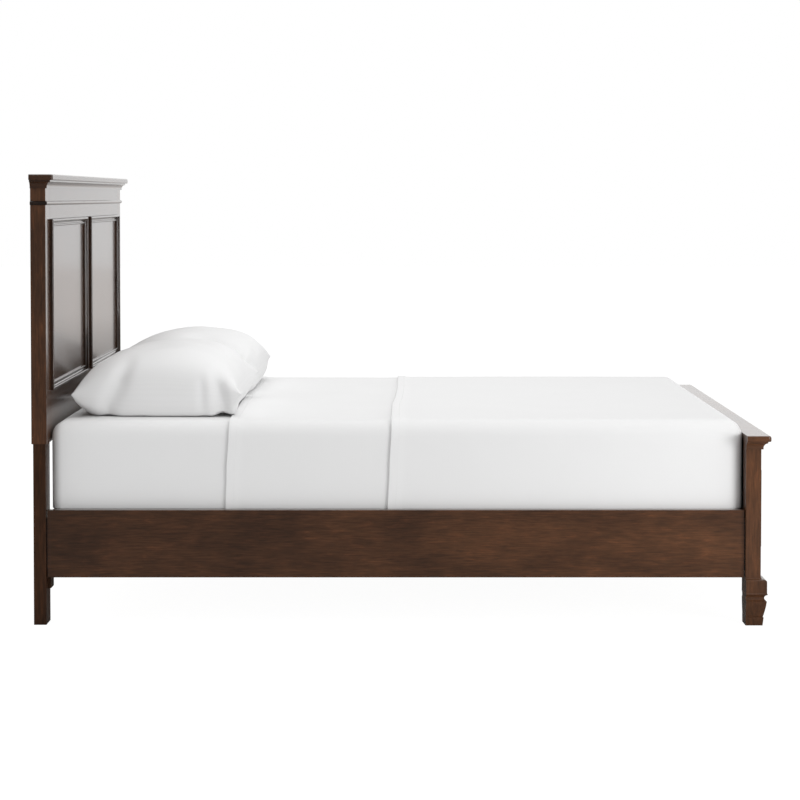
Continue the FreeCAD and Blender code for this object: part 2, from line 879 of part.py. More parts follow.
def makeMattress():
    size = (v.clearLength - v.foundationEndGap * 2, mattressWide, v.foundationHigh)
    at = (headX + v.foundationEndGap, -mattressHalf, foundationZ)
    keep(board("foundationBlock", size, at, (upright, v.foundationRound)), "foundation")
    size = (mattressLong, mattressWide, v.mattressHigh)
    at = (mattressX, -mattressHalf, mattressZ)
    codes = upright + ("xZ", "XZ", "yZ", "YZ")
    keep(board("mattressBlock", size, at, (codes, v.mattressRound),
               (("xz", "Xz", "yz", "Yz"), v.mattressUnderRound)), "mattress")
    inside = v.liftGap
    cover("fitted_sheet", inside, v.sheetThick, mattressX - inside - v.sheetThick, False)
    inside = inside + v.sheetThick + v.liftGap
    cover("flat_sheet", inside, v.sheetThick, mattressX + v.sheetFold, True)
    inside = inside + v.sheetThick + v.liftGap
    cover("coverlet", inside, v.coverThick, mattressX + v.coverFold, True)


# Pillow sections along its length: place, width, how far the crown and the underside are filled.
pillowShares = [
    (0.000, 1.000, 0.030, 0.040),
    (0.025, 0.988, 0.240, 0.340),
    (0.080, 0.966, 0.500, 0.720),
    (0.190, 0.948, 0.780, 0.945),
    (0.340, 0.940, 0.950, 0.995),
    (0.500, 0.938, 1.000, 0.995),
    (0.660, 0.940, 0.950, 0.995),
    (0.810, 0.948, 0.780, 0.945),
    (0.920, 0.966, 0.500, 0.720),
    (0.975, 0.988, 0.240, 0.340),
    (1.000, 1.000, 0.030, 0.040),
]
# How the sides run between the flat underside and the seam, and where the crown's shoulder is, as
# shares of the half width and of the seam's or crown's height.
pillowFlatShare = 0.72
pillowBellyShares = (0.925, 0.30)
pillowShoulderShares = (0.62, 0.78)
pillowRiseShare = 0.62


def pillowSection(place, wide, crownFill, underFill):
    half = sizes["pillowWide"] / 2 * wide
    seam = sizes["pillowSeam"]
    top = sizes["pillowCrown"] * crownFill
    drop = seam * underFill
    y = sizes["pillowLong"] * place

    def spot(x, z):
        return FreeCAD.Vector(x, y, z)

    flat = half * pillowFlatShare
    belly = (half * pillowBellyShares[0], seam - drop * (1 - pillowBellyShares[1]))
    shoulderX = half * pillowShoulderShares[0]
    shoulderZ = seam + top * pillowShoulderShares[1]
    left = spot(-half, seam)
    right = spot(half, seam)
    underLeft = spot(-flat, seam - drop)
    underRight = spot(flat, seam - drop)
    crest = spot(0, seam + top)
    quarter = (shoulderX + half) / 2
    rise = (shoulderZ - seam) * pillowRiseShare
    edges = [
        Part.LineSegment(underLeft, underRight),
        Part.Arc(underRight, spot(*belly), right),
        Part.Arc(right, spot(quarter, seam + rise), spot(shoulderX, shoulderZ)),
        Part.Arc(spot(shoulderX, shoulderZ), crest, spot(-shoulderX, shoulderZ)),
        Part.Arc(spot(-shoulderX, shoulderZ), spot(-quarter, seam + rise), left),
        Part.Arc(left, spot(-belly[0], belly[1]), underLeft),
    ]
    return Part.Wire([edge.toShape() for edge in edges])


def makePillows():
    """Crowned pillows whose sides draw in between their corners, flat where they lie."""
    wires = [pillowSection(*share) for share in pillowShares]
    puff = Part.makeLoft(wires, True, False)
    x = headX + v.pillowHeadGap + v.pillowWide / 2
    for side, y in (("right", -(v.pillowApart / 2) - v.pillowLong), ("left", v.pillowApart / 2)):
        thing = doc.addObject("Part::Feature", f"pillow_{side}")
        thing.Shape = puff
        bindPlace(thing, (x, y, pillowZ))
        keep(thing, f"pillow_{side}")


def checkAndWrite():
    doc.recompute()
    faults = [
        f"{thing.Label} is {flag}"
        for thing in doc.Objects for flag in ("Invalid", "Error") if flag in thing.State
    ]
    faults += [
        f"{thing.Label} has no valid shape"
        for thing in subParts if thing.Shape.isNull() or not thing.Shape.isValid()
    ]
    if faults:
        raise RuntimeError("; ".join(faults))
    os.makedirs("parts", exist_ok=True)
    for thing in subParts:
        shape = thing.Shape
        shape.exportStep(f"parts/{thing.Label}.step")
        print(thing.Label, len(shape.Solids), "solids,", round(shape.Volume / 1000), "cm3")
    print(len(subParts), "sub-parts")


plateRecesses = plateGroups()
makeHeadboard(plateRecesses)
makeFootboard(plateRecesses)
makeRails()
makeSlats()
makeSupports()
makeMattress()
makePillows()
checkAndWrite()
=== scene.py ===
import math
import bmesh
import bpy
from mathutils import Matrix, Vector, noise


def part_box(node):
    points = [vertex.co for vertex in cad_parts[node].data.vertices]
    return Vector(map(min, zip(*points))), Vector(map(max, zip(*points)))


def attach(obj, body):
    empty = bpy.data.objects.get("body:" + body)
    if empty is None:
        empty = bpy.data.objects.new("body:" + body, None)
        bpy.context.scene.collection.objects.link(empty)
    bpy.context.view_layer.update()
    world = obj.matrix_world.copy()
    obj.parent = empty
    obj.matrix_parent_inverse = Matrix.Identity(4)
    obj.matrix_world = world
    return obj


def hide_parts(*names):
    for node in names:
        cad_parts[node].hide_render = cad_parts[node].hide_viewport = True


# A panelled bed in dark lacquered wood, with its foundation, mattress, white bedding and pillows.
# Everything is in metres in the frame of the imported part: +X towards the footboard, +Z up.

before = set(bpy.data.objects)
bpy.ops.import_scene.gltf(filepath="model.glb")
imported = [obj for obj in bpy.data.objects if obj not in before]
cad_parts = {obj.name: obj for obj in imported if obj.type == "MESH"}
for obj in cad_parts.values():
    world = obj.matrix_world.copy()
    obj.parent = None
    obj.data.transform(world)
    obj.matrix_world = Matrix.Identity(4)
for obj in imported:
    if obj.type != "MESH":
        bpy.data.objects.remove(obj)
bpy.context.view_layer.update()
mm = 0.001
print("frame loaded:", len(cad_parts), "nodes")


def feed(tree, node, inputs):
    # each input gets its value, or a link where another node's socket is given
    for key, value in inputs.items():
        if isinstance(value, bpy.types.NodeSocket):
            tree.links.new(value, node.inputs[key])
        else:
            node.inputs[key].default_value = value


def addNode(tree, kind, inputs=None, **settings):
    made = tree.nodes.new(kind)
    for key, value in settings.items():
        setattr(made, key, value)
    feed(tree, made, inputs or {})
    return made


def reckon(tree, operation, *values):
    return addNode(tree, "ShaderNodeMath", dict(enumerate(values)), operation=operation).outputs[0]


def spread(tree, value, before, after):
    # stretches one range of a value onto another and holds it at both ends
    return addNode(tree, "ShaderNodeMapRange", {
        "Value": value, "From Min": before[0], "From Max": before[1],
        "To Min": after[0], "To Max": after[1]}).outputs["Result"]


def objectPlace(tree):
    return addNode(tree, "ShaderNodeTexCoord").outputs["Object"]


def alongAxis(tree, place, axis):
    return addNode(tree, "ShaderNodeSeparateXYZ", {0: place}).outputs[axis]


# a Mix node's sockets for vectors and for colours share their names, so they go by number
mixVectorA, mixVectorB, mixedVector = 4, 5, 1
mixColourA, mixColourB, mixedColour = 6, 7, 2


def newMaterial(name):
    material = bpy.data.materials.new(name)
    material.use_nodes = True
    tree = material.node_tree
    return material, tree, tree.nodes["Principled BSDF"]


def ramp(tree, factor, stops):
    made = addNode(tree, "ShaderNodeValToRGB", {"Fac": factor})
    elements = made.color_ramp.elements
    while len(elements) < len(stops):
        elements.new(0.5)
    for element, (place, colour) in zip(elements, stops):
        element.position = place
        element.color = (*colour, 1)
    return made.outputs["Color"]


def newObject(name, mesh, material=None, smooth=True):
    made = bpy.data.objects.new(name, mesh)
    bpy.context.scene.collection.objects.link(made)
    if material:
        mesh.materials.append(material)
    if smooth:
        mesh.polygons.foreach_set("use_smooth", [True] * len(mesh.polygons))
    return made


def bake(made):
    # turns the evaluated object into a plain mesh without modifiers
    graph = bpy.context.evaluated_depsgraph_get()
    mesh = bpy.data.meshes.new_from_object(made.evaluated_get(graph), depsgraph=graph)
    mesh.name = made.name
    made.modifiers.clear()
    made.data = mesh
    return made


cameraLook = {
    "place": (-0.0025, -6.877, 1.262),
    "lens": 93.25,
    "sensor": 36.0,
    "tilt": 1.8,             # degrees downwards; the shift does the rest of the framing
    "shift": -0.173,
}
stageLook = {
    "white": 1.0,            # the backdrop, as the camera sees it and as the back reflects it
    "ambient": 0.75,         # what the sky gives to plain surfaces
    "frontGlow": 0.13,       # the backdrop as the camera's side reflects it
    "backFrom": (-0.75, 0.6),  # where the reflected backdrop turns from front to back, along y
    "floorSize": 60.0,
    "floorUnder": 0.3 * mm,  # keeps the floor clear of the soles
    "floorColour": (0.80, 0.80, 0.80),  # as it lights the bed
    "floorShade": (0.12, 0.12, 0.12),   # what takes the bed's shadow where the floor is seen
    "floorGlow": 0.96,                  # and what makes it white there
    # the floor as polished wood reflects it: from y, to y, from strength, to strength
    "mirroredBack": (3.0, 15.0, 0.03, 0.78),
    "mirroredFront": (-7.0, -42.0, 0.02, 0.13),
    "mirroredColour": (1.0, 0.955, 0.925),
}
lampLook = {
    # name: place, aimed at, size, power
    "rightLamp": ((2.5, -2.8, 0.8), (0.3, 0.0, 0.5), (1.1, 0.8), 28.5),
    "topLamp": ((-0.4, 0.2, 3.8), (-0.3, 0.0, 0.0), (3.0, 2.4), 44.5),
}


def makeCamera():
    data = bpy.data.cameras.new("camera")
    data.lens = cameraLook["lens"]
    data.sensor_width = cameraLook["sensor"]
    data.shift_y = cameraLook["shift"]
    camera = bpy.data.objects.new("camera", data)
    camera.location = cameraLook["place"]
    camera.rotation_euler = (math.radians(90 - cameraLook["tilt"]), 0, 0)
    bpy.context.scene.collection.objects.link(camera)
    bpy.context.scene.camera = camera


def seenDirectly(tree):
    # 1 for rays from the camera, from a mirror-like surface or through glass
    path = addNode(tree, "ShaderNodeLightPath").outputs
    first = reckon(tree, "MAXIMUM", path["Is Camera Ray"], path["Is Glossy Ray"])
    return path, reckon(tree, "MAXIMUM", first, path["Is Transmission Ray"])


def makeWorld():
    world = bpy.data.worlds.new("studio")
    bpy.context.scene.world = world
    world.use_nodes = True
    tree = world.node_tree
    tree.nodes.clear()
    path, direct = seenDirectly(tree)
    # reflections of the camera's side are dimmer than those of the sides and the back
    way = addNode(tree, "ShaderNodeTexCoord").outputs["Generated"]
    facing = spread(tree, alongAxis(tree, way, "Y"), stageLook["backFrom"],
                    (stageLook["frontGlow"], stageLook["white"]))
    level = addNode(tree, "ShaderNodeMix", {
        "Factor": path["Is Camera Ray"], "A": facing, "B": stageLook["white"]}, data_type="FLOAT")
    plain = addNode(tree, "ShaderNodeBackground", {
        "Color": (1, 1, 1, 1), "Strength": stageLook["ambient"]})
    bright = addNode(tree, "ShaderNodeBackground", {
        "Color": (1, 1, 1, 1), "Strength": level.outputs["Result"]})
    both = addNode(tree, "ShaderNodeMixShader", {
        "Fac": direct, 1: plain.outputs[0], 2: bright.outputs[0]})
    addNode(tree, "ShaderNodeOutputWorld", {"Surface": both.outputs[0]})


def floorMaterial():
    material = bpy.data.materials.new("studioFloor")
    material.use_nodes = True
    tree = material.node_tree
    tree.nodes.clear()
    path, direct = seenDirectly(tree)
    depth = alongAxis(tree, objectPlace(tree), "Y")
    mirrored = [spread(tree, depth, stageLook[key][:2], stageLook[key][2:])
                for key in ("mirroredBack", "mirroredFront")]
    level = addNode(tree, "ShaderNodeMix", {
        "Factor": path["Is Glossy Ray"], "A": stageLook["floorGlow"],
        "B": reckon(tree, "MAXIMUM", *mirrored)}, data_type="FLOAT")
    tint = addNode(tree, "ShaderNodeMix", {
        "Factor": path["Is Glossy Ray"], mixColourA: (1, 1, 1, 1),
        mixColourB: (*stageLook["mirroredColour"], 1)}, data_type="RGBA")
    glow = addNode(tree, "ShaderNodeEmission", {
        "Color": tint.outputs[mixedColour], "Strength": level.outputs["Result"]})
    plain = addNode(tree, "ShaderNodeBsdfDiffuse", {"Color": (*stageLook["floorColour"], 1)})
    shade = addNode(tree, "ShaderNodeBsdfDiffuse", {"Color": (*stageLook["floorShade"], 1)})
    seen = addNode(tree, "ShaderNodeAddShader", {0: shade.outputs[0], 1: glow.outputs[0]})
    both = addNode(tree, "ShaderNodeMixShader", {
        "Fac": direct, 1: plain.outputs[0], 2: seen.outputs[0]})
    addNode(tree, "ShaderNodeOutputMaterial", {"Surface": both.outputs[0]})
    return material


def makeFloor():
    half, under = stageLook["floorSize"] / 2, stageLook["floorUnder"]
    mesh = bpy.data.meshes.new("floor")
    mesh.from_pydata([(-half, -half, -under), (half, -half, -under), (half, half, -under),
                      (-half, half, -under)], [], [(0, 1, 2, 3)])
    floor = newObject("floor", mesh, floorMaterial(), smooth=False)


def makeLamps():
    for name, (place, aim, size, power) in lampLook.items():
        data = bpy.data.lights.new(name, "AREA")
        data.shape = "RECTANGLE"
        data.size, data.size_y = size
        data.energy = power
        lamp = bpy.data.objects.new(name, data)
        lamp.location = place
        lamp.rotation_euler = (Vector(aim) - Vector(place)).to_track_quat("-Z", "Y").to_euler()
        bpy.context.scene.collection.objects.link(lamp)


bpy.context.scene.view_settings.view_transform = "Standard"
makeCamera()
makeWorld()
makeFloor()
makeLamps()
print("stage ready")


darkWood = {
    # stops of the stain, from its darkest blotches to its reddest streaks
    "stain": ((0.28, (0.0490, 0.0200, 0.0080)), (0.44, (0.0600, 0.0235, 0.0088)),
              (0.58, (0.0680, 0.0258, 0.0095)), (0.74, (0.0960, 0.0340, 0.0118))),
    "cloud": (0.70, 1.20),   # broad uneven patches, as a share of the colour
    "tone": (0.88, 1.50),    # painted light: the colour grows lighter from the headboard to the footboard, where the light falls stronger
    "cloudAlong": 4.0,       # patches in a metre along the grain and across it
    "cloudAcross": 9.0,
    "blotchAlong": 17.0,     # blotches, in the same way
    "blotchAcross": 85.0,
    "streakAlong": 20.0,     # fine streaks, in the same way
    "streakAcross": 280.0,
    "streakDepth": 0.30,
    "roughness": (0.37, 0.42),
    "specular": 0.12,
    "coat": 1.0,
    "coatRoughness": 0.13,
    "coatIndex": 1.62,       # how much the lacquer bends light
    "bump": 0.006,
    "bumpDeep": 0.4 * mm,
}
slatWood = {
    "stain": ((0.25, (0.50, 0.36, 0.20)), (0.48, (0.60, 0.45, 0.27)),
              (0.62, (0.66, 0.51, 0.32)), (0.80, (0.58, 0.40, 0.22))),
    "cloud": (0.92, 1.06),
    "tone": (1.0, 1.0),
    "cloudAlong": 1.5,
    "cloudAcross": 6.0,
    "blotchAlong": 1.6,
    "blotchAcross": 22.0,
    "streakAlong": 9.0,
    "streakAcross": 330.0,
    "streakDepth": 0.30,
    "roughness": (0.55, 0.75),
    "specular": 0.30,
    "coat": 0.0,
    "coatRoughness": 0.5,
    "coatIndex": 1.62,
    "bump": 0.30,
    "bumpDeep": 0.4 * mm,
}
# the noise behind blotches, streaks and patches, and the part of its range that counts
grainNoise = {
    "blotch": {"Detail": 5.0, "Roughness": 0.62, "Distortion": 0.35},
    "streak": {"Detail": 4.0, "Roughness": 0.6, "Distortion": 0.25},
    "cloud": {"Detail": 3.0, "Distortion": 0.5},
}
grainSpan = {"blotch": (0.3, 0.7), "streak": (0.32, 0.68), "cloud": (0.35, 0.65)}
zincLook = {
    "dark": (0.055, 0.057, 0.060),
    "light": (0.10, 0.10, 0.105),
    "spangles": 140.0,       # in a metre
    "roughness": (0.28, 0.5),
}
nylonLook = {
    "dark": (0.014, 0.014, 0.015),
    "light": (0.028, 0.028, 0.030),
    "specks": 900.0,         # in a metre
    "roughness": 0.48,
    "bump": 0.2,
    "bumpDeep": 0.1 * mm,
}
# what the stain's colours are multiplied by on some pieces: painted shade on the mouldings and
# legs, painted light on the headboard posts, darker beads; the legs have less lacquer, too
# painted shade: the mouldings are darker, standing in for the shade on their sides
mouldingPaintedShade = 0.5
# the beads are much darker than the rest of the wood
beadDarkening = 0.25
# painted shade: the legs are darker, standing in for the shade in the gap beside the mattress
legPaintedShade, legCoat = 0.85, 0.35
# painted light: the headboard posts are lighter, standing in for the light and reflection on them
postPaintedLight = 1.5
paintedLightReach = 1.05             # the painted light along x changes as far as this on both sides of the middle


def grainCoordinates(tree, look, direction):
    # blotches, streaks and patches stretched along one of the axes x, y and z
    place = objectPlace(tree)
    made = []
    for key in grainNoise:
        scale = [look[key + "Across"]] * 3
        scale["xyz".index(direction)] = look[key + "Along"]
        mapping = addNode(tree, "ShaderNodeMapping", {"Vector": place, "Scale": scale})
        made.append(mapping.outputs["Vector"])
    return made


def mitredCoordinates(tree, look, node):
    # grain along y in the level sticks of a panel's frame, and along z in its upright ones
    low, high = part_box(node)
    split = addNode(tree, "ShaderNodeSeparateXYZ", {0: objectPlace(tree)})
    past = []
    for axis, start, end in (("Y", low[1], high[1]), ("Z", low[2], high[2])):
        away = reckon(tree, "SUBTRACT", split.outputs[axis], (start + end) / 2)
        past.append(reckon(tree, "SUBTRACT", reckon(tree, "ABSOLUTE", away), (end - start) / 2))
    upright = reckon(tree, "GREATER_THAN", *past)
    made = []
    for level, tall in zip(grainCoordinates(tree, look, "y"), grainCoordinates(tree, look, "z")):
        mixed = addNode(tree, "ShaderNodeMix", {
            "Factor": upright, mixVectorA: level, mixVectorB: tall}, data_type="VECTOR")
        made.append(mixed.outputs[mixedVector])
    return made


def woodMaterial(name, look, direction, frameOf=None):
    material, tree, shader = newMaterial(name)
    if frameOf:
        places = mitredCoordinates(tree, look, frameOf)
    else:
        places = grainCoordinates(tree, look, direction)
    blotch, streak, cloud = [
        addNode(tree, "ShaderNodeTexNoise", dict(inputs, Vector=place, Scale=1.0)).outputs["Fac"]
        for inputs, place in zip(grainNoise.values(), places)]
    depth = look["streakDepth"]
    shade = spread(tree, streak, grainSpan["streak"], (1 - depth, 1 + 0.7 * depth))
    # painted light: the colour is lighter towards the footboard, where the light from the right
    # falls stronger
    tone = spread(tree, alongAxis(tree, objectPlace(tree), "X"),
                  (-paintedLightReach, paintedLightReach), look["tone"])
    patch = spread(tree, cloud, grainSpan["cloud"], look["cloud"])
    strength = reckon(tree, "MULTIPLY", shade, reckon(tree, "MULTIPLY", patch, tone))
    grained = addNode(tree, "ShaderNodeMix", {
        "Factor": 1.0, mixColourA: ramp(tree, blotch, look["stain"]), mixColourB: strength},
        data_type="RGBA", blend_type="MULTIPLY", clamp_result=False)
    bump = addNode(tree, "ShaderNodeBump", {
        "Height": streak, "Strength": look["bump"], "Distance": look["bumpDeep"]})
    feed(tree, shader, {
        "Base Color": grained.outputs[mixedColour],
        "Roughness": spread(tree, blotch, grainSpan["blotch"], look["roughness"]),
        "Specular IOR Level": look["specular"],
        "Coat Weight": look["coat"],
        "Coat Roughness": look["coatRoughness"],
        "Coat IOR": look["coatIndex"],
        "Normal": bump.outputs["Normal"]})
    return material


def zincMaterial(look):
    material, tree, shader = newMaterial("blackZinc")
    spangle = addNode(tree, "ShaderNodeTexVoronoi", {
        "Vector": objectPlace(tree), "Scale": look["spangles"]}).outputs["Distance"]
    feed(tree, shader, {
        "Base Color": ramp(tree, spangle, ((0.0, look["dark"]), (0.6, look["light"]))),
        "Metallic": 1.0,
        "Roughness": spread(tree, spangle, (0, 1), look["roughness"])})
    return material


def nylonMaterial(look):
    material, tree, shader = newMaterial("blackNylon")
    speck = addNode(tree, "ShaderNodeTexNoise", {
        "Vector": objectPlace(tree), "Scale": look["specks"], "Detail": 2.0}).outputs["Fac"]
    bump = addNode(tree, "ShaderNodeBump", {
        "Height": speck, "Strength": look["bump"], "Distance": look["bumpDeep"]})
    feed(tree, shader, {
        "Base Color": ramp(tree, speck, ((0.3, look["dark"]), (0.7, look["light"]))),
        "Roughness": look["roughness"],
        "Normal": bump.outputs["Normal"]})
    return material


def recoloured(look, share):
    # the same finish with the stain's colours times a share, for painted shade, painted light and
    # darker pieces
    return dict(look, stain=tuple(
        (place, tuple(part * share for part in colour)) for place, colour in look["stain"]))


def dressWood():
    along = {axis: woodMaterial("darkWoodAlong" + axis.upper(), darkWood, axis) for axis in "xyz"}
    beadWood = woodMaterial("darkerBeadAlongX", recoloured(darkWood, beadDarkening), "x")
    # painted shade on the legs, through their darker stain colours
    legLook = dict(recoloured(darkWood, legPaintedShade), coat=legCoat)
    legWood = woodMaterial("darkWoodLegs", legLook, "z")
    # painted light on the headboard posts, through their lighter stain colours
    postWood = woodMaterial("darkWoodPosts", recoloured(darkWood, postPaintedLight), "z")
    pale = woodMaterial("slatPineAlongY", slatWood, "y")
    paleUp = woodMaterial("slatPineAlongZ", slatWood, "z")
    zinc = zincMaterial(zincLook)
    nylon = nylonMaterial(nylonLook)
    # which way the grain runs, by parts of the nodes' names; along y where none fits
    alongX = ("side_rail", "crown_left", "crown_right", "slat_cleat")
    alongZ = ("_post_", "_mullion", "_panel_", "_foot_")
    for name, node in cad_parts.items():
        if "moulding" in name:
            # painted shade: the mouldings' colour is darkened, standing in for the shade on their
            # sides
            paintedShadeLook = recoloured(darkWood, mouldingPaintedShade)
            material = woodMaterial("darkWood_" + name, paintedShadeLook, "y", frameOf=name)
        elif name.startswith("support_leg"):
            material = paleUp
        elif name.startswith("level_foot"):
            material = nylon
        elif "plates" in name or "screws" in name:
            material = zinc
        elif name.startswith("slat_") and "cleat" not in name:
            material = pale
        elif name in ("headboard_bead_left", "headboard_bead_right"):
            material = beadWood
        elif name.startswith("headboard_leg") or name.startswith("rail_block"):
            material = legWood
        elif name.startswith("headboard_post"):
            material = postWood
        elif any(part in name for part in alongX):
            material = along["x"]
        elif any(part in name for part in alongZ):
            material = along["z"]
        else:
            material = along["y"]
        for slot in node.material_slots:
            slot.material = material


dressWood()
print("wood and metal dressed")


cottonLook = {
    "colour": (0.83, 0.83, 0.83),
    "shade": 0.97,           # the darker threads, as a share of the colour
    "threads": 1500.0,       # sets how fine the weave is
    "roughness": 0.88,
    "specular": 0.2,
    "sheen": 0.10,
    "bump": 0.10,
    "bumpDeep": 0.15 * mm,
}


def clothMaterial(name, look):
    # plain weave on the piece's own UV map, which is in metres
    material, tree, shader = newMaterial(name)
    place = addNode(tree, "ShaderNodeUVMap", uv_map="weave").outputs["UV"]
    waves = [addNode(tree, "ShaderNodeTexWave", {
        "Vector": place, "Scale": look["threads"] / 20, "Distortion": 0.6, "Detail": 1.0,
        "Detail Scale": 0.5}, bands_direction=direction).outputs["Fac"] for direction in "XY"]
    weave = reckon(tree, "MULTIPLY", *waves)
    uneven = addNode(tree, "ShaderNodeTexNoise", {
        "Vector": objectPlace(tree), "Scale": 7.0, "Detail": 3.0}).outputs["Fac"]
    tone = addNode(tree, "ShaderNodeMix", {
        "Factor": 0.5, "A": weave, "B": uneven}, data_type="FLOAT").outputs["Result"]
    dark = tuple(part * look["shade"] for part in look["colour"])
    bump = addNode(tree, "ShaderNodeBump", {
        "Height": weave, "Strength": look["bump"], "Distance": look["bumpDeep"]})
    feed(tree, shader, {
        "Base Color": ramp(tree, tone, ((0.0, dark), (0.6, look["colour"]))),
        "Roughness": look["roughness"],
        "Specular IOR Level": look["specular"],
        "Sheen Weight": look["sheen"],
        "Normal": bump.outputs["Normal"]})
    return material


cotton = clothMaterial("whiteCotton", cottonLook)
tickingLook = dict(cottonLook, colour=(0.78, 0.77, 0.74), shade=0.88, threads=900.0, bump=0.3)
ticking = clothMaterial("mattressTicking", tickingLook)
tapeLook = dict(cottonLook, colour=(0.66, 0.65, 0.62), shade=0.85, threads=700.0, bump=0.4)
tape = clothMaterial("edgeTape", tapeLook)
threadLook = dict(cottonLook, colour=(0.78, 0.78, 0.77), shade=0.9, threads=2500.0)
thread = clothMaterial("whiteThread", threadLook)


def stitchTree():
    tree = bpy.data.node_groups.new("stitchRow", "GeometryNodeTree")
    face = tree.interface
    face.new_socket("Geometry", in_out="INPUT", socket_type="NodeSocketGeometry")
    for label in ("Spacing", "Stitch Length", "Stitch Thickness"):
        face.new_socket(label, in_out="INPUT", socket_type="NodeSocketFloat")
    face.new_socket("Material", in_out="INPUT", socket_type="NodeSocketMaterial")
    face.new_socket("Geometry", in_out="OUTPUT", socket_type="NodeSocketGeometry")
    given = addNode(tree, "NodeGroupInput").outputs
    path = addNode(tree, "GeometryNodeMeshToCurve", {"Mesh": given["Geometry"]})
    spaced = addNode(tree, "GeometryNodeResampleCurve", {
        "Curve": path.outputs["Curve"], "Length": given["Spacing"]}, mode="LENGTH")
    stitch = addNode(tree, "GeometryNodeMeshIcoSphere", {"Radius": 0.5, "Subdivisions": 1})
    size = addNode(tree, "ShaderNodeCombineXYZ", {
        "X": given["Stitch Length"], "Y": given["Stitch Thickness"],
        "Z": given["Stitch Thickness"]})
    shaped = addNode(tree, "GeometryNodeTransform", {
        "Geometry": stitch.outputs["Mesh"], "Scale": size.outputs["Vector"]})
    along = addNode(tree, "GeometryNodeInputTangent")
    turn = addNode(tree, "FunctionNodeAlignRotationToVector", {
        "Vector": along.outputs["Tangent"]}, axis="X")
    row = addNode(tree, "GeometryNodeInstanceOnPoints", {
        "Points": spaced.outputs["Curve"], "Instance": shaped.outputs["Geometry"],
        "Rotation": turn.outputs["Rotation"]})
    real = addNode(tree, "GeometryNodeRealizeInstances", {"Geometry": row.outputs["Instances"]})
    coloured = addNode(tree, "GeometryNodeSetMaterial", {
        "Geometry": real.outputs["Geometry"], "Material": given["Material"]})
    addNode(tree, "NodeGroupOutput", {"Geometry": coloured.outputs["Geometry"]})
    return tree


stitchRow = stitchTree()


def weaveFlat(mesh):
    # the weave's UV map, in metres, for thin pieces
    if not mesh.uv_layers:
        mesh.uv_layers.new(name="weave")
    mesh.uv_layers[0].name = "weave"
    for loop in mesh.loops:
        spot = mesh.vertices[loop.vertex_index].co
        mesh.uv_layers[0].data[loop.index].uv = (spot.x + spot.y, spot.z)


def setInputs(modifier, values):
    for item in modifier.node_group.interface.items_tree:
        if item.in_out == "INPUT" and item.name in values:
            modifier[item.identifier] = values[item.name]


stitchLook = {
    "share": 0.72,           # a stitch's length, as a share of the spacing
    "thick": 0.9 * mm,
    "hemSpacing": 4.5 * mm,
    "tapeSpacing": 7 * mm,
}


def sewnRow(name, points, closed, spacing):
    # stitches along a line of points, on the piece's surface
    mesh = bpy.data.meshes.new(name)
    edges = [(i, i + 1) for i in range(len(points) - 1)]
    if closed:
        edges.append((len(points) - 1, 0))
    mesh.from_pydata([tuple(point) for point in points], edges, [])
    row = newObject(name, mesh, smooth=False)
    modifier = row.modifiers.new("stitches", "NODES")
    modifier.node_group = stitchRow
    setInputs(modifier, {
        "Spacing": spacing, "Stitch Length": spacing * stitchLook["share"],
        "Stitch Thickness": stitchLook["thick"], "Material": thread})
    bake(row)
    weaveFlat(row.data)
    return row


foundationLow, foundationHigh = (Vector(corner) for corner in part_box("foundation"))
mattressLow, mattressHigh = (Vector(corner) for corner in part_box("mattress"))
bedding = {
    "round": 42 * mm,        # round of the top edges
    "corner": 30 * mm,       # and of the upright ones
    "flatCell": 22 * mm,     # cells of the nets: on flat stretches, on rounds, at hem and rim
    "roundCell": 7 * mm,
    "hemCell": 3.5 * mm,
    "rimCells": (1.5 * mm, 3.5 * mm),
    "billow": 1.1 * mm,      # slow swells of the mattress, shared by every layer on it
    "billowSize": 0.45,
    "hemLift": 4.6 * mm,     # how far a free edge stands off what it lies on
    "hemUneven": 0.11,       # size of the waves in that
    "hemWide": 48 * mm,      # within this of the free edge it settles onto the cloth below
    "hemRow": 24 * mm,       # the row of stitches from the free edge
    "edgeFade": 0.30,        # how far into the piece the free edge's waver reaches
    "sideDrop": 0.05,        # below this depth the free edge follows its line of the side
    "sheetThick": 1.2 * mm,
    "coverletThick": 1.8 * mm,
}
# where the free edges lie: how far towards the footboard, at heights of the near side and at
# places across the top
edgeLines = {
    "flat_sheet": {"side": ((0.338, 0.0), (0.45, 3 * mm), (0.56, 9 * mm)),
                   "top": ((-0.77, 10 * mm), (0.0, 4 * mm), (0.77, 8 * mm))},
    "coverlet": {"side": ((0.338, -10 * mm), (0.45, -5 * mm), (0.58, 1 * mm)),
                 "top": ((-0.76, 1 * mm), (-0.34, 2 * mm), (-0.05, 12 * mm), (0.16, 16 * mm),
                         (0.40, 18 * mm), (0.77, 19 * mm))},
}


def places(start, *stops):
    # values from start through each stop, evenly spaced by no more than its cell
    made = [start]
    for stop, cell in stops:
        count = max(1, math.ceil((stop - made[-1]) / cell - 1e-6))
        step = (stop - made[-1]) / count
        first = made[-1]
        made += [first + step * (i + 1) for i in range(count)]
    return made


def eased(share):
    # from 0 to 1 with a soft start and end
    return share * share * (3 - 2 * share)


def billow(spot):
    wave = noise.noise(spot / bedding["billowSize"])
    return wave * bedding["billow"]


